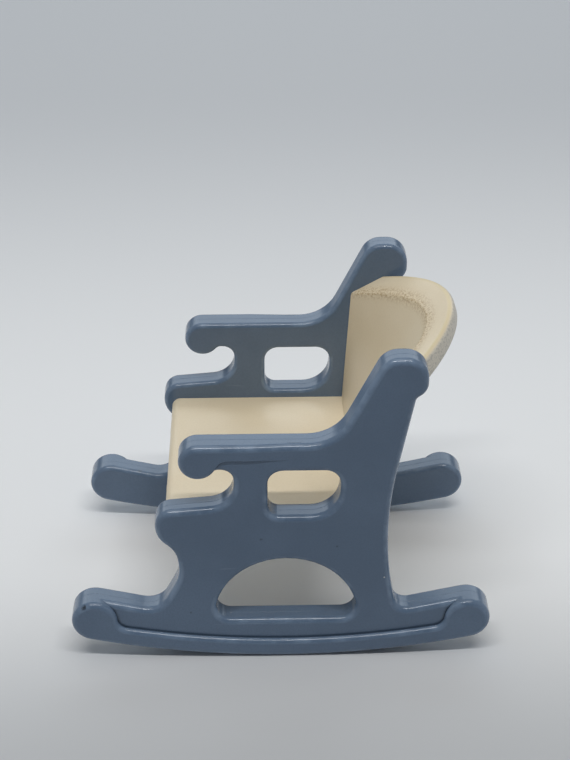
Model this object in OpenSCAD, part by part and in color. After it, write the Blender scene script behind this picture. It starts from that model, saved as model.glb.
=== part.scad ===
// Miniature rocking chair: two moulded sides, each of two halves, a seat and a backrest.
// Millimetres. The chair faces -Y, +Z is up, and the origin is on the floor at its middle.

/* [Runners] */
// Length over the runner tips
runner_l = 88; // [72:1:110]
// Rocking radius of the runners
runner_r = 180; // [130:5:300]
// Depth of a runner
runner_d = 9.6; // [8:0.1:11.5]
// Distance from the middle back to where the runners touch the floor
touch_y = 1.2; // [0:0.1:4]
// Depth of the raised rail along a runner
rail_d = 4.3; // [3:0.1:5]

/* [Sides] */
// Clear width between the two sides
seat_w = 45.8; // [36:0.1:60]
// Thickness of one half of a side
half_t = 2.8; // [2.5:0.1:4.5]
// Height of the raised rails and scrolls of the runners above the outer face
relief_t = 1.3; // [0.6:0.1:1.6]
// Reach of the foot of the front leg, forward of the middle
valley_y = 25.6; // [23:0.1:28]
// Reach of the front leg's hollow, forward of the middle
leg_y = 20.9; // [17.5:0.1:22]
// Height of the middle of the front leg's hollow
leg_z = 20.2; // [19:0.1:24]
// Reach of the seat-front lobe, forward of the middle
lobe_y = 25; // [24:0.1:30]
// Height of the lobe above the seat
lobe_h = 3.3; // [3:0.1:6]
// Reach of the foot of the rear edge, behind the middle
heel_y = 24.2; // [22:0.1:29]
// Reach of the waist of the rear edge, behind the middle
waist_y = 20.5; // [19.5:0.1:23]
// Height of the waist
waist_z = 30.5; // [26:0.5:36]

/* [Arms] */
// Height of the arm tops above the seat
arm_h = 19; // [16:0.1:24]
// Reach of the arms, forward of the middle
arm_y = 20.6; // [18:0.1:25]
// Diameter of the scroll at an arm's front end
arm_d = 7.8; // [6:0.1:8.5]
// Thickness of an arm above its notch
arm_t = 5.9; // [4:0.1:6]
// Depth of the raised strip along an arm
strip_d = 3.3; // [2:0.1:3.4]
// Height of the raised strip and scroll of an arm above the outer face
strip_t = 0.4; // [0.2:0.1:0.8]
// Reach of the inner end of the notch under an arm, forward of the middle
notch_y = 9.6; // [8:0.1:12]

/* [Posts] */
// Height of the post tops above the arms
post_h = 19.2; // [16:0.1:26]
// Reach of the post tops, behind the middle
post_y = 28.9; // [27:0.1:35]
// Width of a post's top
post_w = 8.6; // [7.5:0.1:11]
// Lean of the posts' front edge
post_lean = 26.3; // [18:0.1:32]
// Height of a post's cap
cap_h = 7.4; // [6.5:0.1:10]
// Step from the cap in to the rear edge
cap_step = 2.3; // [1.5:0.1:3]

/* [Openings] */
// Width of the stile between the notch and the slot
stile_w = 6.9; // [5:0.1:8]
// Length of the slot
slot_l = 14.7; // [10:0.1:16]
// Height of the slot's floor above the seat
slot_rise = 1.9; // [1:0.1:4]
// Height of the bar above the slot
bar_h = 6.3; // [4:0.1:7]
// Radius of the half-moon
moon_r = 15; // [9:0.1:16]
// Middle of the half-moon, behind the middle
moon_y = 1; // [-2:0.1:4]
// Height of the half-moon's flat edge
moon_z = 8.9; // [8:0.1:12]
// Height of the middle of the half-moon's arc above that edge
moon_up = 0.3; // [0:0.1:1.5]

/* [Seat] */
// Height of the seat's top
seat_z = 33; // [30:0.1:42]
// Reach of the seat, forward of the middle
seat_y = 24; // [20:0.1:29]
// Rounding of the seat's front edge
nose_r = 2; // [0.5:0.1:2.4]
// Thickness of the seat and its apron
seat_t = 2.6; // [2.2:0.1:3.5]
// Height of the front apron
apron_h = 7.6; // [5:0.1:11.5]
// Thickness of the ribs under the seat
rib_t = 1.8; // [1.2:0.1:2.5]
// Depth of the ribs under the seat
rib_h = 4; // [2:0.1:6]
// Ledge of the seat behind the backrest
ledge = 1.4; // [0.8:0.1:3]
// Depth of the rebate that the backrest stands in
rebate = 0.8; // [0.4:0.1:1.2]

/* [Backrest] */
// Where the backrest's hollow meets the seat, behind the middle
back_y = 15; // [13:0.1:16.5]
// Thickness of the wall
wall_t = 3; // [2.6:0.1:3.6]
// How far the hollow's upper edge lies behind its foot, at the middle
back_rake = 15.9; // [10:0.1:20]
// Height of the hollow's upper edge above the seat, at the middle
back_h = 33; // [26:0.1:40]
// How far that edge comes forward from the middle to the sides
back_sag = 14.3; // [8:0.1:15.5]
// Fall of that edge for each millimetre that it comes forward
back_fall = 0.44; // [0:0.01:0.5]
// Depth of the rim's face, front to rear
rim_w = 5.2; // [3.5:0.1:6]
// Rise of the rim's face
rim_rise = 4.4; // [2.5:0.1:5]
// Thickness of the rim at its rear edge
rim_t = 4.3; // [3:0.1:5.5]
// Lean of the rim's rear edge
rim_lean = 18; // [10:1:35]

/* [Joints] */
// Clearance round tenons, tongue and pegs
clearance = 0.1; // [0.05:0.01:0.2]
// Diameter of the pegs that join the two halves of a side
peg_d = 2.8; // [2:0.1:3.4]
// Length of the seat's tenons
tenon_l = 10; // [6:0.5:12]
// Length of the backrest's tenons
back_tenon_l = 14; // [8:0.5:18]
// Thickness of the backrest's tenons and tongue
tongue_t = 2; // [1.5:0.1:2.2]
// Length of the backrest's tongue
tongue_l = 28; // [14:1:33]

/* [Hidden] */
blue = "#647486";
cream = "#d8ccb4";
// Most degrees of turn, and most length, between two points of an outline
step = 9;
stride = 2;
// How far a cut runs past the face it opens, and a tenon's root into its piece
past = 1;

// Corner radii of a side's outline, from the rear foot round to the front foot
heel_r = 2.8;
waist_r = 85;
hook_r = 1.6;
lip_r = 3.2;
cap_r = 4.5;
elbow_r = 9;
arm_root_r = 1.6;
notch_top_r = 2.6;
notch_low_r = 5.4;
lobe_r = 3.4;
chin_r = 5.5;
throat_r = 6.1;
hollow_r = 8.7;
valley_r = 4.5;
// Rise of the lobe's top from its front to the notch
lobe_rise = 1.3;
// How far the lobe's underside lies below its top and in front of it
lobe_drop = 6;
lobe_nose = 1.5;
// How far the throat under the lobe lies below the lobe's top and behind its front
throat_drop = 9.9;
throat_in = 3.3;
// Slope of the curl's underside where an arm's scroll ends
curl = 50;
// Corner radii of the slot and of the half-moon
slot_front_r = 2.5;
slot_rear_r = 6.2;
slot_top_r = 3.2;
moon_corner_r = 3.2;
// Fillets between the scrolls and their rails
rail_fillet = 2.4;
strip_fillet = 2.2;
// Rear end of an arm's strip, behind the middle, and the length over which it fades out
strip_y = 4;
strip_fade = 10;

inner_x = seat_w / 2;
arm_z = seat_z + arm_h;
post_z = arm_z + post_h;
// Middle of the circle that the runners roll on
roll = [touch_y, runner_r];
tip_r = runner_d / 2;
arm_r = arm_d / 2;
arm_mid = [arm_r - arm_y, arm_z - arm_r];
arm_low = arm_z - arm_d;
curl_y = arm_mid[0] + arm_r * tan(curl / 2);
notch_z = arm_z - arm_t;
lobe_z = seat_z + lobe_h;
post_front = post_y - post_w;
slot_y = stile_w - notch_y;
slot_z = seat_z + slot_rise;
slot_top = arm_z - bar_h;

// A point at a distance and an angle from another
function polar(c, r, a) = c + r * [cos(a), sin(a)];
// The angle of a vector
function angle(v) = atan2(v[1], v[0]);
function unit(v) = v / norm(v);
// The turn from one direction to the next, between -180 and 180 degrees
function turn(d, e) = atan2(d[0] * e[1] - d[1] * e[0], d * e);
// Points of an arc from angle a0 to a1, in a number of steps that can be given
function arc(c, r, a0, a1, steps = 0) =
    let (t = abs(a1 - a0), n = steps > 0 ? steps : max(2, ceil(t / step), ceil(t * PI / 180 * r / stride)))
    [for (i = [0 : n]) polar(c, r, a0 + (a1 - a0) * i / n)];
// How much of its sides a corner of this radius takes up
function reach(a, p, b, r) = r * tan(abs(turn(p - a, b - p)) / 2);
// Points of the corner at p between a and b, which is sharp where its radius is 0
function corner(a, p, b, r, steps) =
    let (d = unit(p - a), t = turn(d, b - p), s = sign(t),
         c = p - d * reach(a, p, b, r) + s * r * [-d[1], d[0]], a0 = angle(d) - 90 * s)
    r == 0 ? [p] : arc(c, r, a0, a0 + t, steps);
// Points of a closed outline whose corners are [y, z, radius]; a radius shrinks where its side is too short
function rounded(v, steps = 0) =
    let (n = len(v), p = [for (q = v) [q[0], q[1]]],
         t = [for (i = [0 : n - 1]) reach(p[(i + n - 1) % n], p[i], p[(i + 1) % n], v[i][2])])
    [for (i = [0 : n - 1])
        let (h = (i + n - 1) % n, j = (i + 1) % n,
             ease = min(1, norm(p[i] - p[h]) / (t[h] + t[i]), norm(p[j] - p[i]) / (t[i] + t[j])))
        each corner(p[h], p[i], p[j], v[i][2] * ease, steps)];

// Angle, about the rolling circle's middle, of a runner's tip: end is -1 at the front, 1 at the rear
function tip_angle(end) = -90 + end * asin((runner_l / 2 - tip_r - end * touch_y) / (runner_r - tip_r));
// A point by a tip: along the runner past the tip's middle, and up from the runner's lower edge
function by_tip(end, along, up) =
    let (a = tip_angle(end)) polar(roll, runner_r - up, a) + end * along * [-sin(a), cos(a)];
// The corner under the runners, where the lines that touch the circle at both tips meet
function low_corner() =
    let (f = tip_angle(-1), r = tip_angle(1)) polar(roll, runner_r / cos((r - f) / 2), (f + r) / 2);
// The point at y on the line along a runner's top
function runner_top(end, y) =
    let (p = by_tip(end, 0, runner_d)) [y, p[1] + (y - p[0]) * tan(tip_angle(end) + 90)];
// Where a post's front edge is at a height
function post_edge(z) = post_front - (post_z - z) * tan(post_lean);

// Outline of a side, anticlockwise from the front tip
function side_points() = rounded([
    [each by_tip(-1, tip_r, 0), tip_r],
    [each low_corner(), runner_r],
    [each by_tip(1, tip_r, 0), tip_r],
    [each by_tip(1, tip_r, runner_d), tip_r],
    [each runner_top(1, heel_y), heel_r],
    [waist_y, waist_z, waist_r],
    [post_y - cap_step, post_z - cap_h - hook_r, hook_r],
    [post_y, post_z - cap_h, lip_r],
    [post_y, post_z, cap_r],
    [post_front, post_z, cap_r],
    [post_edge(arm_z), arm_z, elbow_r],
    [-arm_y, arm_z, arm_r],
    [-arm_y, arm_low, arm_r],
    [curl_y, arm_low, arm_r],
    [curl_y + (notch_z - arm_low) / tan(curl), notch_z, arm_root_r],
    [-notch_y, notch_z, notch_top_r],
    [-notch_y, lobe_z + lobe_rise, notch_low_r],
    [-lobe_y, lobe_z, lobe_r],
    [-lobe_y - lobe_nose, lobe_z - lobe_drop, chin_r],
    [throat_in - lobe_y, lobe_z - throat_drop, throat_r],
    [-leg_y, leg_z, hollow_r],
    [each runner_top(-1, -valley_y), valley_r],
    [each by_tip(-1, tip_r, runner_d), tip_r]
]);

// Outline of the slot under an arm
function slot_points() = rounded([
    [slot_y, slot_z, slot_front_r],
    [slot_y + slot_l, slot_z, slot_rear_r],
    [slot_y + slot_l, slot_top, slot_top_r],
    [slot_y, slot_top, slot_top_r]
]);

// Outline of the half-moon: its rounded corners touch the arc and the flat edge
function moon_points() =
    let (m = [moon_y, moon_z + moon_up], c = moon_corner_r, z = c - moon_up, w = sqrt(pow(moon_r - c, 2) - z * z),
         rear = m + [w, z], front = m + [-w, z], a = angle(rear - m), b = angle(front - m))
    concat(arc(rear, c, -90, a), arc(m, moon_r, a, b), arc(front, c, b, 270));

// Middle of the fillet between the scroll on a runner's tip and the rail
function fillet_mid(end) =
    let (d = runner_r - tip_r, b = runner_r - rail_d - rail_fillet, h = tip_r + rail_fillet)
    polar(roll, b, tip_angle(end) - end * acos((d * d + b * b - h * h) / (2 * d * b)));
// Outline of a runner's raised rail, whose two scrolls are the runner's tips
function rail_points() =
    let (f = by_tip(-1, 0, tip_r), r = by_tip(1, 0, tip_r), g = fillet_mid(-1), s = fillet_mid(1),
         af = tip_angle(-1), ar = tip_angle(1), ag = angle(g - roll), as = angle(s - roll),
         fg = angle(g - f), rs = angle(s - r))
    concat(arc(roll, runner_r, af, ar), arc(r, tip_r, ar, ar + 90), arc(r, tip_r, ar + 90, ar + 180),
        arc(r, tip_r, ar + 180, rs), arc(s, rail_fillet, rs - 180, as), arc(roll, runner_r - rail_d, as, ag),
        arc(g, rail_fillet, ag, fg - 180), arc(f, tip_r, fg, af + 180), arc(f, tip_r, af + 180, af + 270),
        arc(f, tip_r, af + 270, af + 360));

// Outline of the raised strip and scroll of an arm
function strip_points() =
    let (z = arm_z - strip_d, dz = z - strip_fillet - arm_mid[1], h = arm_r + strip_fillet,
         g = arm_mid + [sqrt(h * h - dz * dz), dz], a = angle(g - arm_mid))
    concat(arc(arm_mid, arm_r, 90, 180), arc(arm_mid, arm_r, 180, 270), arc(arm_mid, arm_r, 270, 270 + curl),
        arc(arm_mid, arm_r, 270 + curl, 360 + a), arc(g, strip_fillet, 180 + a, 90),
        [[strip_y, z], [strip_y, arm_z]]);

// Pegs on both runners, on the front leg and the rear edge under the seat, in the post's cap and in the stile
peg_in = 9;
peg_drop = 8.5;
peg_wall = 2.4;
pegs = [
    by_tip(-1, -peg_in, tip_r),
    by_tip(1, -peg_in, tip_r),
    [peg_wall - leg_y, seat_z - peg_drop],
    [waist_y - peg_wall, seat_z - peg_drop],
    [post_y - post_w / 2, post_z - cap_h + peg_wall],
    [slot_y - stile_w / 2, slot_top - peg_wall]
];
// A blind peg hole leaves about a third of the half behind it
peg_depth = half_t * 2 / 3;

// The seat's tenons are thinner than the seat by a shoulder above and below
shoulder = 0.25;
tenon_t = seat_t - 2 * shoulder;
tenon_z = seat_z - seat_t + shoulder;
// Front ends of the tenons, behind the lobe's front and before the backrest
tenon_in = 4.4;
tenon_y = [tenon_in - lobe_y, back_y - tenon_in / 2 - tenon_l];
// Tenons stop short of the outer half
tenon_reach = half_t - 2 * clearance;
// The rim widens towards the sides, where it runs askew, by no more than this
most_askew = 1.5;
tongue_y = back_y + (wall_t - tongue_t) / 2;
// The backrest's tenons start above the seat, in the middle of the wall's ends, and lean as they do
back_tenon_up = 8;
back_lean = atan((back_rake - back_sag + (most_askew - 1) * wall_t / 2) / back_h);
back_tenon_y = tongue_y + back_tenon_up * tan(back_lean);
seat_rear = back_y + wall_t + ledge;
// Rounding of the apron's lower edges and of the corner behind it
apron_r = 0.6;

// Stands an outline in y and z against the plane at x and gives it a thickness
module slab(x, t) {
    translate([x, 0, 0]) rotate([90, 0, 90]) linear_extrude(t) children();
}

// Outline of a side with its slot and half-moon
module side_shape() {
    difference() {
        polygon(side_points());
        polygon(slot_points());
        polygon(moon_points());
    }
}

// Pegs from x, or the holes for them
module peg_row(x, l, d) {
    for (p = pegs) translate([x, p[0], p[1]]) rotate([0, 90, 0]) cylinder(d = d, h = l, $fn = 48);
}

// Seat tenons from x, or the mortises for them, larger all round by grow
module seat_tenons(x, l, grow) {
    for (y = tenon_y)
        translate([x, y - grow, tenon_z - grow]) cube([l, tenon_l + 2 * grow, tenon_t + 2 * grow]);
}

// A backrest tenon from x, or the mortise for it
module back_tenon(x, l, grow) {
    translate([x, back_tenon_y, seat_z + back_tenon_up]) rotate([-back_lean, 0, 0])
        translate([0, -grow, -grow]) cube([l, tongue_t + 2 * grow, back_tenon_l + 2 * grow]);
}

// The backrest's tongue up from z, or the slot for it
module tongue(z, h, grow) {
    translate([-tongue_l / 2 - grow, tongue_y - grow, z]) cube([tongue_l + 2 * grow, tongue_t + 2 * grow, h]);
}

// The raised strip of an arm at x, which fades out towards the rear
module arm_strip(x) {
    difference() {
        slab(x, strip_t) polygon(strip_points());
        translate([x + strip_t, strip_y - strip_fade, arm_low]) rotate([0, 0, atan(strip_t / strip_fade)])
            cube([strip_t * 2, strip_fade * 2, arm_d * 2]);
    }
}

// The inner half of the side at +X
module inner_half() {
    hole_l = peg_depth + clearance;
    difference() {
        slab(inner_x, half_t) side_shape();
        peg_row(inner_x + half_t - hole_l, hole_l + past, peg_d + 2 * clearance);
        seat_tenons(inner_x - past, half_t + 2 * past, clearance);
        back_tenon(inner_x - past, half_t + 2 * past, clearance);
    }
}

// The outer half of the side at +X
module outer_half() {
    x = inner_x + half_t;
    slab(x, half_t) side_shape();
    slab(x + half_t, relief_t) polygon(rail_points());
    arm_strip(x + half_t);
    peg_row(x - peg_depth, peg_depth + past, peg_d);
}

module left_outer_half() { color(blue) outer_half(); }
module left_inner_half() { color(blue) inner_half(); }
module right_outer_half() { color(blue) mirror([1, 0, 0]) outer_half(); }
module right_inner_half() { color(blue) mirror([1, 0, 0]) inner_half(); }

// Section of the seat: its plate with the rebate at the rear, and the apron at the front
function seat_points() = rounded([
    [-seat_y, seat_z, nose_r],
    [-seat_y, seat_z - apron_h, apron_r],
    [seat_t - seat_y, seat_z - apron_h, apron_r],
    [seat_t - seat_y, seat_z - seat_t, apron_r],
    [seat_rear, seat_z - seat_t, 0],
    [seat_rear, seat_z - rebate, 0],
    [back_y, seat_z - rebate, 0],
    [back_y, seat_z, 0]
]);

module seat() {
    color(cream) {
        difference() {
            slab(-inner_x, seat_w) polygon(seat_points());
            tongue(seat_z - seat_t - past, seat_t + 2 * past, clearance);
        }
        for (x = [-1, 1] * seat_w / 4)
            translate([x - rib_t / 2, -seat_y, seat_z - seat_t - rib_h])
                cube([rib_t, seat_y + tongue_y - ledge, rib_h + past]);
        for (s = [0, 1]) mirror([s, 0, 0]) seat_tenons(inner_x - past, past + tenon_reach, 0);
    }
}

// Slices across the backrest, rows up its wall and steps round each of its rounded edges
slices = 28;
rows = 6;
edge_steps = 4;
// Radii of the hollow's upper edge, the rim's edges and the neck under the rim
brim_r = 1.2;
rim_r = 1.1;
neck_r = 2;
// How far the neck lies below the hollow's upper edge
neck_drop = 1.6;

// Points between two others, up a wall
function wall_rows(a, b) = [for (i = [1 : rows - 1]) [each a + (b - a) * i / rows, 0]];
// Section of the backrest at a share u of the half-width: foot, hollow, rim's face, rear edge, neck and back
function back_section(u) =
    let (sag = back_sag * u * u, askew = min(most_askew, sqrt(1 + pow(2 * back_sag * u / inner_x, 2))),
         foot = [back_y, seat_z], brim = foot + [back_rake - sag, back_h - back_fall * sag],
         top = brim + [rim_w * askew, rim_rise],
         low = top + rim_t * [sin(rim_lean) * askew, -cos(rim_lean)],
         neck = brim + [wall_t * askew, -neck_drop], heel = foot + [wall_t, 0], sunk = [0, -rebate])
    rounded(concat([[each foot + sunk, 0], [each foot, 0]], wall_rows(foot, brim),
        [[each brim, brim_r], [each top, rim_r], [each low, rim_r], [each neck, neck_r]],
        wall_rows(neck, heel), [[each heel, 0], [each heel + sunk, 0]]), edge_steps);
// Triangles between two rings of n points that start at a and b, slanted one way or the other
function ring_faces(a, b, n, up) = [for (i = [0 : n - 1])
    let (j = (i + 1) % n)
    each up ? [[a + i, a + j, b + j], [a + i, b + j, b + i]] : [[a + i, a + j, b + i], [a + j, b + j, b + i]]];

module backrest() {
    shares = [for (i = [0 : slices]) 2 * i / slices - 1];
    rings = [for (u = shares) [for (p = back_section(u)) [u * inner_x, each p]]];
    n = len(rings[0]);
    sides = [for (i = [0 : slices - 1]) each ring_faces(i * n, (i + 1) * n, n, 2 * i < slices)];
    strips = [for (i = [0 : n / 2 - 2]) [i, i + 1, n - 2 - i, n - 1 - i]];
    ends = [for (q = strips) each [[q[3], q[2], q[1], q[0]], [for (k = q) slices * n + k]]];
    color(cream) {
        polyhedron([for (r = rings) each r], concat(sides, ends));
        tongue(seat_z - seat_t, seat_t + past, 0);
        for (s = [0, 1]) mirror([s, 0, 0]) back_tenon(inner_x - past, past + tenon_reach, 0);
    }
}

left_outer_half();
left_inner_half();
right_outer_half();
right_inner_half();
seat();
backrest();
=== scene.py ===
"""Looks of a miniature rocking chair: two blue sides, each of two halves, and a cream seat and backrest.

Metres, in the frame of the CAD model: the chair faces -Y, its left side is at +X, and +Z is up.
"""

import math

import bmesh
import bpy
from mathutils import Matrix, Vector
from mathutils.geometry import delaunay_2d_cdt


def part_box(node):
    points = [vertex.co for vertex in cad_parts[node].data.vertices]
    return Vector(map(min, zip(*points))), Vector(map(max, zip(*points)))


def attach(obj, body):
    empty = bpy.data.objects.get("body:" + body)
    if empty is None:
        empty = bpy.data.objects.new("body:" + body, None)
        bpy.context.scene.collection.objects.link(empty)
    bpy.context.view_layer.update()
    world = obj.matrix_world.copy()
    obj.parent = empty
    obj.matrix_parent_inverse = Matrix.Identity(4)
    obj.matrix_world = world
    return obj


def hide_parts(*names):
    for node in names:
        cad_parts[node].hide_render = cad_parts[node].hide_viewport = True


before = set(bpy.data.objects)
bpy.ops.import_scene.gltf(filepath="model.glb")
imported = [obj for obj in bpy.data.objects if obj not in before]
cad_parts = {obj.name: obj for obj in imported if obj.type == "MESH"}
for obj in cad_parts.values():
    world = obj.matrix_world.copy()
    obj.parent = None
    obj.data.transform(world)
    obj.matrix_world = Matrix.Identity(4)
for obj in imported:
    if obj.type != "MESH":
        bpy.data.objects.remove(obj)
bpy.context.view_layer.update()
MM = 0.001

# Rounding of the sides' outer and inner edges and of the raised rails, and the steps round an edge
EDGE_R = 1.3 * MM
INNER_R = 1 * MM
BEAD_R = 1.1 * MM
EDGE_STEPS = 8
# Groove where two halves meet
GROOVE = 0.06 * MM
# The rounding of a raised rail or strip takes up no more than this share of its height
BEAD_SHARE = 0.85
# Within this distance of the side's outline, that rounding widens to EDGE_R
BLEND = 1.6 * MM
# Shortest stretch between two points of an outline, and longest one round a raised rail or strip
SHORTEST = 0.1 * MM
STRIDE = 0.8 * MM
# How far the end of a fading strip sinks into the face
SINK = 0.12 * MM
# A loop round a half's seam face is the outline or an opening above the first area, a mortise above the
# second, and otherwise a peg or its hole
OPENING_AREA = 50 * MM * MM
MORTISE_AREA = 10 * MM * MM
# How close two places are that count as one: in a CAD plane, in a CAD mesh, and among the points of a cap
NEAR = 0.02 * MM
WELD = NEAR / 10
TOUCH = NEAR / 1000
# How square to an axis the normals of a flat face, and of a raised and perhaps sloping one, are
FLAT = 0.99
RAISED = 0.9
# The kind of triangulation that keeps only what lies inside the edges
INSIDE = 1

# Inner face, seam, outer face and peg ends of the left side, and the seat's top
INNER_X, SEAM_X = (place.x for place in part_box("left_inner_half"))
FACE_X = 2 * SEAM_X - INNER_X
PEG_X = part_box("left_outer_half")[0].x
SEAT_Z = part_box("seat")[1].z


def link_object(name, data):
    """A new object of the scene that shows a mesh, a lamp or a camera."""
    thing = bpy.data.objects.new(name, data)
    bpy.context.scene.collection.objects.link(thing)
    return thing


def make_mesh(name, points, faces, values):
    """A mesh with a value at each point for its material."""
    mesh = bpy.data.meshes.new(name)
    mesh.from_pydata(points, [], faces)
    mesh.attributes.new("edge", "FLOAT", "POINT").data.foreach_set("value", values)
    return mesh


# The two sides, each of an outer and an inner half


def is_within(spot, edges):
    """Whether a spot lies inside a flat outline and outside its holes, given as pairs of points."""
    within = False
    for p, q in edges:
        if (p.y > spot.y) != (q.y > spot.y):
            within ^= spot.x < p.x + (q.x - p.x) * (spot.y - p.y) / (q.y - p.y)
    return within


class Shell:
    """Points, faces and the normals at the faces' corners of one piece. A point's value is high halfway round
    an edge."""

    def __init__(self):
        self.points = []
        self.normals = []
        self.values = []
        self.faces = []
        self.corners = []

    def ring(self, rows, xs, insets, tilt, out):
        """Adds an outline's points at xs, moved in by insets, with normals tilted to out. Gives the points'
        numbers."""
        first = len(self.points)
        for (point, normal), x, inset in zip(rows, xs, insets):
            self.points.append(Vector((x, point.y - normal.y * inset, point.z - normal.z * inset)))
            self.normals.append(normal * math.cos(tilt) + Vector((out * math.sin(tilt), 0, 0)))
            self.values.append(max(0, math.sin(2 * tilt)))
        return range(first, len(self.points))

    def face(self, points, normals):
        """Adds a face by its points' numbers, with a normal for each of its corners."""
        self.faces.append(tuple(points))
        self.corners.extend(normals)

    def band(self, low, high):
        """Quads between two rings."""
        for i in range(len(low)):
            j = (i + 1) % len(low)
            quad = (low[i], low[j], high[j], high[i])
            self.face(quad, [self.normals[k] for k in quad])

    def cap(self, rings, normal):
        """Fills the space between rings with triangles that face along normal."""
        numbers, edges = [], []
        for ring in rings:
            first, n = len(numbers), len(ring)
            edges += [(first + i, first + (i + 1) % n) for i in range(n)]
            numbers += ring
        flat = [Vector((self.points[i].y, self.points[i].z)) for i in numbers]
        spots, _, triangles, origins, _, _ = delaunay_2d_cdt(flat, edges, [], INSIDE, TOUCH)
        for triangle in triangles:
            middle = sum((spots[i] for i in triangle), Vector((0, 0))) / 3
            if is_within(middle, [(flat[i], flat[j]) for i, j in edges]):
                turned = triangle if normal.x > 0 else triangle[::-1]
                self.face([numbers[origins[i][0]] for i in turned], [normal] * 3)

    def build(self, name):
        mesh = make_mesh(name, self.points, self.faces, self.values)
        mesh.normals_split_custom_set(self.corners)
        return link_object(name, mesh)


def face_loops(node, wanted):
    """The loops round those faces of a CAD node that are wanted, anticlockwise as the faces look, without
    points that all but meet."""
    mesh = bmesh.new()
    mesh.from_mesh(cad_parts[node].data)
    bmesh.ops.remove_doubles(mesh, verts=mesh.verts, dist=WELD)
    chosen = {face for face in mesh.faces if wanted(face)}
    after = {}
    for face in chosen:
        for corner in face.loops:
            if not any(other in chosen for other in corner.edge.link_faces if other is not face):
                after[corner.vert] = corner.link_loop_next.vert
    loops = []
    for start in sorted(after, key=lambda vert: vert.index):
        loop = []
        vert = start
        while vert in after:
            loop.append(vert.co.copy())
            vert = after.pop(vert)
        pairs = zip(loop[-1:] + loop[:-1], loop)
        loop = [point for before, point in pairs if (point - before).length > SHORTEST]
        if loop:
            loops.append(loop)
    mesh.free()
    return loops


def flat_loops(node, axis, place):
    """The loops round a CAD node's faces in the plane across an axis at a place."""

    def wanted(face):
        return abs(face.normal[axis]) > FLAT and abs(face.calc_center_median()[axis] - place) < NEAR

    return face_loops(node, wanted)


def area(loop):
    """The area that a loop encloses, seen from the side."""
    return abs(sum(p.y * q.z - q.y * p.z for p, q in zip(loop, loop[1:] + loop[:1]))) / 2


def split(loop):
    """A loop whose long stretches have points between."""
    points = []
    for p, q in zip(loop, loop[1:] + loop[:1]):
        steps = math.ceil((q - p).length / STRIDE)
        points += [p.lerp(q, i / steps) for i in range(steps)]
    return points


def with_normals(loop, out):
    """Pairs of a loop's points and their normals across the loop, away from the solid."""
    rows = []
    for before, point, after in zip(loop[-1:] + loop[:-1], loop, loop[1:] + loop[:1]):
        along = (point - before).normalized() + (after - point).normalized()
        rows.append((point, Vector((0, out * along.z, -out * along.y)).normalized()))
    return rows


def straight_wall(shell, rows, x0, x1, out):
    """A wall from x0 to x1 with sharp edges. Gives its two rings."""
    none = [0] * len(rows)
    low = shell.ring(rows, [x0] * len(rows), none, 0, out)
    high = shell.ring(rows, [x1] * len(rows), none, 0, out)
    shell.band(low, high)
    return low, high


def rounded_wall(shell, rows, bases, out, tops, radii):
    """A wall up from bases, with a groove along its foot and a rounded edge. Gives its first and last
    rings."""
    first = shell.ring(rows, bases, [GROOVE] * len(rows), -math.pi / 4, out)
    last = shell.ring(rows, [base + out * GROOVE for base in bases], [0] * len(rows), 0, out)
    shell.band(first, last)
    for i in range(EDGE_STEPS + 1):
        tilt = math.pi / 2 * i / EDGE_STEPS
        xs = [top - out * r * (1 - math.sin(tilt)) for top, r in zip(tops, radii)]
        ring = shell.ring(rows, xs, [r * (1 - math.cos(tilt)) for r in radii], tilt, out)
        shell.band(last, ring)
        last = ring
    return first, last


def add_half(shell, node, side, out, face_x):
    """The walls and flat faces of one half of a side, whose rounded face looks to out. Gives the half's
    outline."""
    seam = side * SEAM_X
    front = Vector((out, 0, 0))
    radius = EDGE_R if out == side else INNER_R
    seam_rings, face_rings, outline = [], [], []
    for loop in flat_loops(node, 0, seam):
        loop.reverse()
        rows = with_normals(loop, out)
        size = area(loop)
        if size > OPENING_AREA:
            seams, tops, radii = ([value] * len(rows) for value in (seam, face_x, radius))
            ring, face_ring = rounded_wall(shell, rows, seams, out, tops, radii)
            face_rings.append(face_ring)
            outline = max(outline, loop, key=len)
        elif size > MORTISE_AREA:
            ring, face_ring = straight_wall(shell, rows, seam, face_x, out)
            face_rings.append(face_ring)
        else:
            ring, end = straight_wall(shell, with_normals(loop, -side), seam, side * PEG_X, -side)
            shell.cap([end], -front)
        seam_rings.append(ring)
    shell.cap(seam_rings, -front)
    shell.cap(face_rings, front)
    return outline


def gap_to(outline, point):
    """How far a point lies from an outline, seen from the side."""
    best = math.inf
    flat = Vector((point.y, point.z))
    for p, q in zip(outline, outline[1:] + outline[:1]):
        a, b = Vector((p.y, p.z)), Vector((q.y, q.z))
        share = max(0, min(1, (flat - a).dot(b - a) / (b - a).length_squared))
        best = min(best, (a.lerp(b, share) - flat).length)
    return best


def smooth(share):
    """A share from 0 to 1 that starts and ends gently."""
    share = max(0, min(1, share))
    return share * share * (3 - 2 * share)


def add_relief(shell, node, side, outline):
    """The raised rail and arm strip of an outer half, on its face."""

    def wanted(face):
        return face.normal.x * side > RAISED and face.calc_center_median().x * side > FACE_X + NEAR

    for loop in face_loops(node, wanted):
        loop = split(loop)
        rows = with_normals(loop, side)
        heights = [point.x * side - FACE_X for point in loop]
        tops = [FACE_X + h - SINK * (1 - h / max(heights)) for h in heights]
        radii = []
        for point, h in zip(loop, heights):
            bead = max(GROOVE, min(BEAD_R, BEAD_SHARE * h))
            radii.append(EDGE_R + (bead - EDGE_R) * smooth(gap_to(outline, point) / BLEND))
        foot = FACE_X - EDGE_R - GROOVE
        bases = [min(foot, top - r - 2 * GROOVE) * side for top, r in zip(tops, radii)]
        low, high = rounded_wall(shell, rows, bases, side, [top * side for top in tops], radii)
        front = Vector((side, 0, 0))
        shell.cap([low], -front)
        shell.cap([high], front)


# Materials


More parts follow.
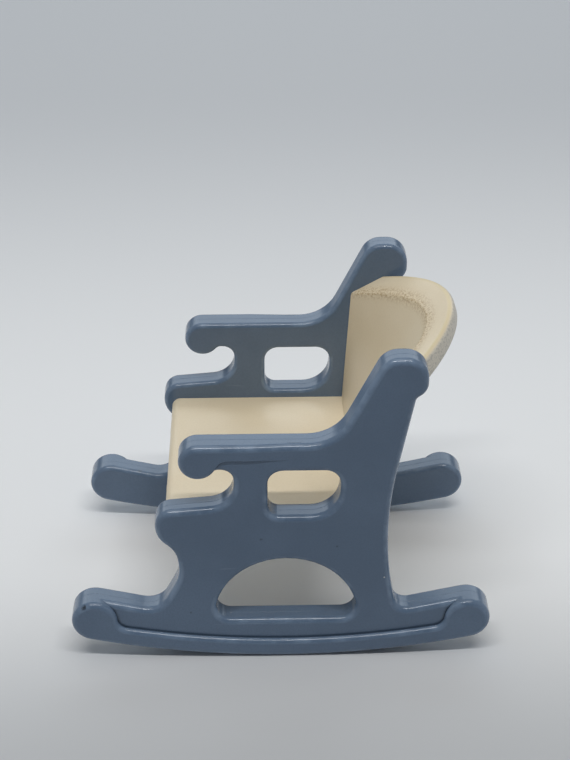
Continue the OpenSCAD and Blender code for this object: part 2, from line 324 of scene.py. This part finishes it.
def sRGB(red, green, blue):
    """A colour given as it looks on screen, 0 to 255, as the linear values that a material takes."""

    def linear(value):
        share = value / 255
        return share / 12.92 if share <= 0.04045 else ((share + 0.055) / 1.055) ** 2.4

    return (linear(red), linear(green), linear(blue), 1)


# Colours of the blue plastic
SLATE = sRGB(94, 114, 138)
PALER_SLATE = sRGB(103, 124, 149)
SLATE_GRAIN = sRGB(87, 105, 127)
RUBBED = sRGB(140, 161, 186)
SCRATCHED = sRGB(142, 160, 180)
DARK_SPECK = sRGB(58, 64, 70)
PALE_SPECK = sRGB(176, 182, 186)
# Painted shade for the creases of the raised work, laid on where ambient occlusion finds them hemmed in
CREASE_SHADE = sRGB(34, 43, 54)
NICK = sRGB(20, 22, 24)
CHIP = sRGB(222, 224, 224)
SPOT = sRGB(58, 68, 78)
BROWN_STAIN = sRGB(98, 92, 70)
# Colours of the cream plastic
IVORY = sRGB(238, 223, 194)
DEEPER_IVORY = sRGB(231, 214, 182)
IVORY_GRAIN = sRGB(216, 200, 169)
BROWN_SPECK = sRGB(146, 132, 108)
GREYED = sRGB(206, 204, 198)
DUST = sRGB(158, 155, 148)
YELLOWED = sRGB(206, 188, 120)
OCHRE_STAIN = sRGB(172, 136, 74)
# Colours of the floor: beyond the right side, under the chair, and beyond the left side; the two outer ones
# are darker, painted shade for the light's fall-off away from the chair
SHADED_FAR_FLOOR = sRGB(208, 210, 213)
MIDDLE_FLOOR = sRGB(245, 246, 247)
SHADED_FRONT_FLOOR = sRGB(198, 200, 202)

# Strength and height of the plastics' fine bumps
BUMP_STRENGTH = 0.5
BUMP_H = 0.012 * MM
# How far the painted shade in the creases of the raised work reaches
CREASE_REACH = 0.9 * MM


class Shader:
    """A material's nodes, added and linked by short calls. A value that is a socket is linked, others are
    set."""

    def __init__(self, name):
        self.material = bpy.data.materials.new(name)
        self.material.use_nodes = True
        self.tree = self.material.node_tree
        self.bsdf = self.tree.nodes["Principled BSDF"]
        self.place = self.add("TexCoord").outputs["Object"]

    def set(self, node, inputs):
        """Links or sets inputs of a node."""
        for name, value in inputs.items():
            socket = node.inputs[name]
            if isinstance(value, bpy.types.NodeSocket):
                self.tree.links.new(value, socket)
            else:
                socket.default_value = value

    def add(self, kind, inputs=None, **settings):
        """A new node of a kind."""
        node = self.tree.nodes.new("ShaderNode" + kind)
        for name, value in settings.items():
            setattr(node, name, value)
        self.set(node, inputs or {})
        return node

    def noise(self, scale, detail=2, stretch=None, roughness=0.5):
        """Noise of so many features to the metre, from 0 to 1."""
        place = self.place
        if stretch:
            place = self.add("Mapping", {"Vector": place, "Scale": stretch}).outputs["Vector"]
        inputs = {"Vector": place, "Scale": scale, "Detail": detail, "Roughness": roughness}
        return self.add("TexNoise", inputs).outputs["Fac"]

    def ramp(self, value, low, high, to_low=0, to_high=1):
        """A value from low to high, carried smoothly over to another range."""
        inputs = {"Value": value, "From Min": low, "From Max": high, "To Min": to_low, "To Max": to_high}
        return self.add("MapRange", inputs, interpolation_type="SMOOTHSTEP").outputs["Result"]

    def math(self, operation, a, b):
        return self.add("Math", {0: a, 1: b}, operation=operation).outputs["Value"]

    def times(self, a, b):
        return self.math("MULTIPLY", a, b)

    def plus(self, a, b):
        return self.math("ADD", a, b)

    def mix(self, share, a, b):
        """A share of the way from colour a to colour b."""
        node = self.add("Mix", {"Factor": share}, data_type="RGBA")
        self.set(node, {6: a, 7: b})
        return node.outputs[2]

    def attribute(self, name):
        return self.add("Attribute", attribute_name=name).outputs["Fac"]

    def specks(self, scale, radius, share):
        """Round specks of about that radius, in a share of cells, so many to the metre."""
        cells = self.add("TexVoronoi", {"Vector": self.place, "Scale": scale})
        chance = self.add("SeparateColor", {"Color": cells.outputs["Color"]}).outputs["Red"]
        near = self.ramp(cells.outputs["Distance"], radius * scale, radius * scale * 0.5)
        return self.times(near, self.math("LESS_THAN", chance, share))

    def mark(self, colour, place, radius, tint, strength):
        """A colour with one soft-edged, ragged mark of another tint on it."""
        offset = self.add("VectorMath", {0: self.place, 1: place}, operation="DISTANCE").outputs["Value"]
        reach = self.plus(offset, self.times(self.noise(1.5 / radius), radius))
        return self.mix(self.ramp(reach, radius * 1.3, radius * 0.6, 0, strength), colour, tint)

    def finish(self, colour, roughness, height):
        bump = self.add("Bump", {"Height": height, "Strength": BUMP_STRENGTH, "Distance": BUMP_H})
        inputs = {"Base Color": colour, "Roughness": roughness, "Normal": bump.outputs["Normal"]}
        self.set(self.bsdf, inputs)
        return self.material


# Marks on the blue plastic, each a place and a radius in millimetres, a colour and a strength: a nick on the
# left front scroll, a chip by the left rear edge, three spots on the left face and a stain on the right
# runner's top
MARKS = [
    ((29.6, -41.3, 13.7), 1, NICK, 1),
    ((28.5, 21.4, 19.6), 0.3, CHIP, 0.9),
    ((28.5, -4.1, 29.6), 0.5, SPOT, 0.6),
    ((28.5, 11.5, 27.6), 0.4, SPOT, 0.6),
    ((28.5, -19, 11.1), 0.4, SPOT, 0.6),
    ((-23.9, -32, 14), 1.8, BROWN_STAIN, 0.75)
]


def blue_plastic():
    """Slate blue moulded plastic with a satin face, paler rubbed edges, fine scratches, specks, painted shade
    in its creases and a few marks."""
    s = Shader("blue_plastic")
    edge = s.attribute("edge")
    cloud = s.ramp(s.noise(45, detail=4), 0.3, 0.7)
    colour = s.mix(cloud, SLATE, PALER_SLATE)
    grain = s.noise(2600, detail=3)
    colour = s.mix(s.ramp(grain, 0.35, 0.7, 0, 0.25), colour, SLATE_GRAIN)
    rubbed = s.times(edge, s.ramp(s.noise(260, detail=5), 0.42, 0.66, 0.1, 0.55))
    colour = s.mix(rubbed, colour, RUBBED)
    scratch = s.ramp(s.noise(420, stretch=(1, 0.12, 1)), 0.7, 0.75, 0, 0.2)
    colour = s.mix(scratch, colour, SCRATCHED)
    colour = s.mix(s.specks(150, radius=0.16 * MM, share=0.16), colour, DARK_SPECK)
    colour = s.mix(s.specks(95, radius=0.14 * MM, share=0.1), colour, PALE_SPECK)
    # Painted shade: the colour darkens where ambient occlusion finds the creases round the raised rail, strip
    # and scrolls
    sky = s.add("AmbientOcclusion", {"Distance": CREASE_REACH}, samples=8, only_local=True).outputs["AO"]
    colour = s.mix(s.ramp(sky, 0.92, 0.6, 0, 0.7), colour, CREASE_SHADE)
    for place, radius, tint, strength in MARKS:
        colour = s.mark(colour, Vector(place) * MM, radius * MM, tint, strength)
    roughness = s.ramp(s.noise(190, detail=4), 0.3, 0.7, 0.15, 0.23)
    worn = s.ramp(s.noise(70, detail=3), 0.42, 0.6)
    chafe = s.times(s.times(edge, worn), s.noise(1700, detail=3))
    height = s.plus(s.times(grain, 0.6), s.noise(320, detail=3))
    height = s.plus(height, s.times(chafe, 3))
    s.set(s.bsdf, {"IOR": 1.54})
    return s.finish(colour, roughness, height)


def cream_plastic(stained):
    """Cream moulded plastic, a little yellowed. The backrest's is also stained along the hollow's upper edge,
    and grey and dusty on the rim's outer wall. Its points' values are their places round the section."""
    s = Shader("cream_plastic_stained" if stained else "cream_plastic")
    cloud = s.ramp(s.noise(40, detail=4), 0.3, 0.7)
    colour = s.mix(cloud, IVORY, DEEPER_IVORY)
    grain = s.noise(2400, detail=3)
    colour = s.mix(s.ramp(grain, 0.4, 0.75, 0, 0.2), colour, IVORY_GRAIN)
    colour = s.mix(s.specks(130, radius=0.15 * MM, share=0.14), colour, BROWN_SPECK)
    if stained:
        around = s.attribute("edge")
        outer = s.times(s.ramp(around, 0.98, 1.2), s.ramp(around, 2.6, 2.1))
        colour = s.mix(s.times(outer, 0.7), colour, GREYED)
        dust = s.times(outer, s.ramp(s.noise(2300), 0.48, 0.62, 0, 0.45))
        colour = s.mix(dust, colour, DUST)
        line = s.times(s.ramp(around, 0.76, 0.88), s.ramp(around, 1.04, 0.92))
        colour = s.mix(s.times(line, 0.3), colour, YELLOWED)
        near = s.times(s.ramp(around, -0.08, 0), s.ramp(around, 0.5, 0.04))
        stain = s.times(near, s.ramp(s.noise(2300, detail=4, roughness=0.65), 0.42, 0.64))
        colour = s.mix(s.times(stain, 0.7), colour, OCHRE_STAIN)
    roughness = s.ramp(s.noise(170, detail=4), 0.3, 0.7, 0.32, 0.44)
    height = s.plus(s.times(grain, 0.6), s.noise(300, detail=3))
    return s.finish(colour, roughness, height)


BLUE = blue_plastic()
CREAM = cream_plastic(False)
STAINED = cream_plastic(True)


def place_piece(piece, node, material):
    """Gives a piece its material and puts it in a CAD node's place."""
    piece.data.materials.append(material)
    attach(piece, "root")
    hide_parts(node)


for side, word in ((1, "left"), (-1, "right")):
    inner = Shell()
    add_half(inner, word + "_inner_half", side, -side, side * INNER_X)
    place_piece(inner.build(word + "_inner_shell"), word + "_inner_half", BLUE)
    outer = Shell()
    outline = add_half(outer, word + "_outer_half", side, side, side * FACE_X)
    add_relief(outer, word + "_outer_half", side, outline)
    place_piece(outer.build(word + "_outer_shell"), word + "_outer_half", BLUE)


# The backrest: a leaning wall, hollow in plan, with a wide rim

# Sizes of the CAD section: its foot, its wall, and the rim on top of it
BACK_Y = 15 * MM
REBATE = 0.8 * MM
WALL_T = 3 * MM
BACK_RAKE = 15.9 * MM
BACK_H = 33 * MM
BACK_SAG = 14.3 * MM
BACK_FALL = 0.44
RIM_W = 5.2 * MM
RIM_RISE = 4.4 * MM
RIM_T = 4.3 * MM
RIM_LEAN = math.radians(18)
MOST_ASKEW = 1.5
# Rounding of the hollow's upper edge, of the rim's rear edges and of the neck under it, and the neck's drop
BRIM_R = 1.2 * MM
RIM_R = 1.1 * MM
NECK_R = 2 * MM
NECK_DROP = 1.6 * MM
# Slices across the width, rows up a wall, and steps round a corner
SLICES = 96
WALL_ROWS = 14
RIM_STEPS = 8
# Edges that turn by more than this stay sharp
SHARP = math.radians(35)
# Length of a tenon's stub, from its end into the backrest
STUB_L = 3.5 * MM


def corner(before, point, after, radius):
    """Points round a corner with that radius, each with its share of the way through, from -1 to 1."""
    d, e = (point - before).normalized(), (after - point).normalized()
    turn = math.atan2(d.x * e.y - d.y * e.x, d.dot(e))
    reach = radius * math.tan(abs(turn) / 2)
    sign = math.copysign(1, turn)
    middle = point - d * reach + sign * radius * Vector((-d.y, d.x))
    start = math.atan2(d.y, d.x) - sign * math.pi / 2
    rows = []
    for i in range(RIM_STEPS + 1):
        a = start + turn * i / RIM_STEPS
        share = 2 * i / RIM_STEPS - 1
        length = (point - before).length if share < 0 else (after - point).length
        rows.append((middle + radius * Vector((math.cos(a), math.sin(a))), share * reach / length))
    return rows


def back_section(u):
    """Points of the backrest at a share of its half-width, each with its place round the section: -1 at the
    foot, 0 at the hollow's upper edge, 1 and 2 at the rim's edges, 3 at the neck and 4 at the heel."""
    sag = BACK_SAG * u * u
    askew = min(MOST_ASKEW, math.hypot(1, 2 * BACK_SAG * u / INNER_X))
    foot = Vector((BACK_Y, SEAT_Z))
    brim = foot + Vector((BACK_RAKE - sag, BACK_H - BACK_FALL * sag))
    top = brim + Vector((RIM_W * askew, RIM_RISE))
    low = top + RIM_T * Vector((math.sin(RIM_LEAN) * askew, -math.cos(RIM_LEAN)))
    neck = brim + Vector((WALL_T * askew, -NECK_DROP))
    heel = foot + Vector((WALL_T, 0))
    sunk = Vector((0, -REBATE))
    rows = [(foot + sunk, -1)]
    rows += [(foot.lerp(brim, i / WALL_ROWS), i / WALL_ROWS - 1) for i in range(WALL_ROWS)]
    spine = [foot, brim, top, low, neck, heel]
    for i, radius in enumerate((BRIM_R, RIM_R, RIM_R, NECK_R)):
        rows += [(p, i + share) for p, share in corner(*spine[i:i + 3], radius)]
    rows += [(neck.lerp(heel, i / WALL_ROWS), 3 + i / WALL_ROWS) for i in range(1, WALL_ROWS + 1)]
    return rows + [(heel + sunk, 4)]


def add_stub(points, faces, loop, shift):
    """A straight-sided stub from a flat loop, along shift into its piece."""
    first = len(points)
    n = len(loop)
    points += loop + [p + shift for p in loop]
    faces.append(tuple(range(first, first + n)))
    faces.append(tuple(range(first + 2 * n - 1, first + n - 1, -1)))
    for i in range(n):
        j = (i + 1) % n
        faces.append((first + j, first + i, first + n + i, first + n + j))


def make_backrest():
    """The backrest as a smooth shell, with stubs for its tenons and its tongue."""
    points, values, faces = [], [], []
    for i in range(SLICES + 1):
        u = 2 * i / SLICES - 1
        section = back_section(u)
        points += [Vector((u * INNER_X, p.x, p.y)) for p, _ in section]
        values += [value for _, value in section]
    n = len(points) // (SLICES + 1)
    for a in range(0, SLICES * n, n):
        for i in range(n):
            j = (i + 1) % n
            faces.append((a + i, a + n + i, a + n + j, a + j))
    for i in range(n // 2 - 1):
        strip = [i, i + 1, n - 2 - i, n - 1 - i]
        faces.append(tuple(strip))
        faces.append(tuple(SLICES * n + k for k in reversed(strip)))
    lo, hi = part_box("backrest")
    for x in (lo.x, hi.x):
        inward = Vector((-math.copysign(STUB_L, x), 0, 0))
        add_stub(points, faces, flat_loops("backrest", 0, x)[0], inward)
    add_stub(points, faces, flat_loops("backrest", 2, lo.z)[0], Vector((0, 0, SEAT_Z - lo.z)))
    values += [-1] * (len(points) - len(values))
    mesh = make_mesh("backrest_shell", points, faces, values)
    mesh.set_sharp_from_angle(angle=SHARP)
    return link_object("backrest_shell", mesh)


place_piece(make_backrest(), "backrest", STAINED)


# The seat: its CAD shape with softened edges

SEAT_EDGE = 0.4 * MM
SEAT_EDGE_STEPS = 4
# Faces that turn by less than this are one
ONE_FACE = math.radians(1)

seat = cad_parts["seat"]
weld = seat.modifiers.new("weld", "WELD")
weld.merge_threshold = WELD
merge = seat.modifiers.new("merge_faces", "DECIMATE")
merge.decimate_type = "DISSOLVE"
merge.angle_limit = ONE_FACE
soften = seat.modifiers.new("soften", "BEVEL")
soften.width = SEAT_EDGE
soften.segments = SEAT_EDGE_STEPS
soften.limit_method = "ANGLE"
soften.harden_normals = True
for material_slot in seat.material_slots:
    material_slot.link = "OBJECT"
    material_slot.material = CREAM


# Floor, lights and camera

# Half of the floor's width, and where along X its painted shade sets in
FLOOR_REACH = 3
FAR_FADE = (-0.32, -0.05)
FRONT_FADE = (-0.01, 0.07)
# The world's light grows from its side strength to its end strength between these slants towards the
# chair's ends
SIDE_SLANT = 0.3
END_SLANT = 0.9
SKY = (0.95, 0.98, 1, 1)
# The camera's lens in millimetres, its place and where it looks
LENS = 79.77
CAMERA_PLACE = Vector((310.52, -5.55, 230.02)) * MM
CAMERA_FORWARD = Vector((-0.8659, 0.0194, -0.4999))


def make_floor():
    """One wide pale floor, palest round the chair, with painted shade darkening it beyond either side."""
    mesh = bpy.data.meshes.new("floor")
    signs = [(-1, -1), (1, -1), (1, 1), (-1, 1)]
    mesh.from_pydata([(x * FLOOR_REACH, y * FLOOR_REACH, 0) for x, y in signs], [], [(0, 1, 2, 3)])
    floor = link_object("floor", mesh)
    s = Shader("pale_floor")
    across = s.add("SeparateXYZ", {"Vector": s.place}).outputs["X"]
    # Painted shade: the floor darkens beyond the right side, and beyond the left side towards the camera
    colour = s.mix(s.ramp(across, *FAR_FADE), SHADED_FAR_FLOOR, MIDDLE_FLOOR)
    colour = s.mix(s.ramp(across, *FRONT_FADE), colour, SHADED_FRONT_FLOOR)
    s.set(s.bsdf, {"Base Color": colour, "Roughness": 0.9, "Specular IOR Level": 0.1})
    mesh.materials.append(s.material)


def make_lamp(name, x, z, width, length, power, colour):
    """A long soft lamp parallel to the chair's length, aimed at the chair."""
    lamp = bpy.data.lights.new(name, "AREA")
    lamp.shape = "RECTANGLE"
    lamp.size = width
    lamp.size_y = length
    lamp.energy = power
    lamp.color = colour
    lamp_object = link_object(name, lamp)
    lamp_object.location = (x, 0, z)
    lamp_object.rotation_euler = (0, math.atan2(x, z), 0)


def make_world(side_strength, end_strength):
    """Even light that is stronger from the chair's front and rear than from its sides."""
    world = bpy.data.worlds.new("studio")
    bpy.context.scene.world = world
    world.use_nodes = True
    nodes, links = world.node_tree.nodes, world.node_tree.links
    axes = nodes.new("ShaderNodeSeparateXYZ")
    links.new(nodes.new("ShaderNodeTexCoord").outputs["Generated"], axes.inputs["Vector"])
    slant = nodes.new("ShaderNodeMath")
    slant.operation = "ABSOLUTE"
    links.new(axes.outputs["Y"], slant.inputs[0])
    strength = nodes.new("ShaderNodeMapRange")
    strength.interpolation_type = "SMOOTHSTEP"
    strength.inputs["From Min"].default_value = SIDE_SLANT
    strength.inputs["From Max"].default_value = END_SLANT
    strength.inputs["To Min"].default_value = side_strength
    strength.inputs["To Max"].default_value = end_strength
    links.new(slant.outputs["Value"], strength.inputs["Value"])
    background = nodes["Background"]
    background.inputs["Color"].default_value = SKY
    links.new(strength.outputs["Result"], background.inputs["Strength"])


def make_camera():
    """A camera that looks at the chair's left side from above."""
    camera = bpy.data.cameras.new("camera")
    camera.lens = LENS
    camera_object = link_object("camera", camera)
    camera_object.location = CAMERA_PLACE
    camera_object.rotation_euler = CAMERA_FORWARD.to_track_quat("-Z", "Y").to_euler()
    bpy.context.scene.camera = camera_object


make_floor()
make_lamp("window_lamp", x=-0.85, z=0.5, width=0.5, length=1.6, power=3.6, colour=(0.86, 0.94, 1))
make_lamp("key_lamp", x=0.3, z=0.8, width=0.04, length=0.7, power=2.8, colour=(1, 1, 1))
make_lamp("ceiling_lamp", x=-0.1, z=0.9, width=0.6, length=0.9, power=1.7, colour=(1, 1, 1))
make_world(side_strength=0.03, end_strength=0.45)
make_camera()
bpy.context.scene.view_settings.view_transform = "Standard"
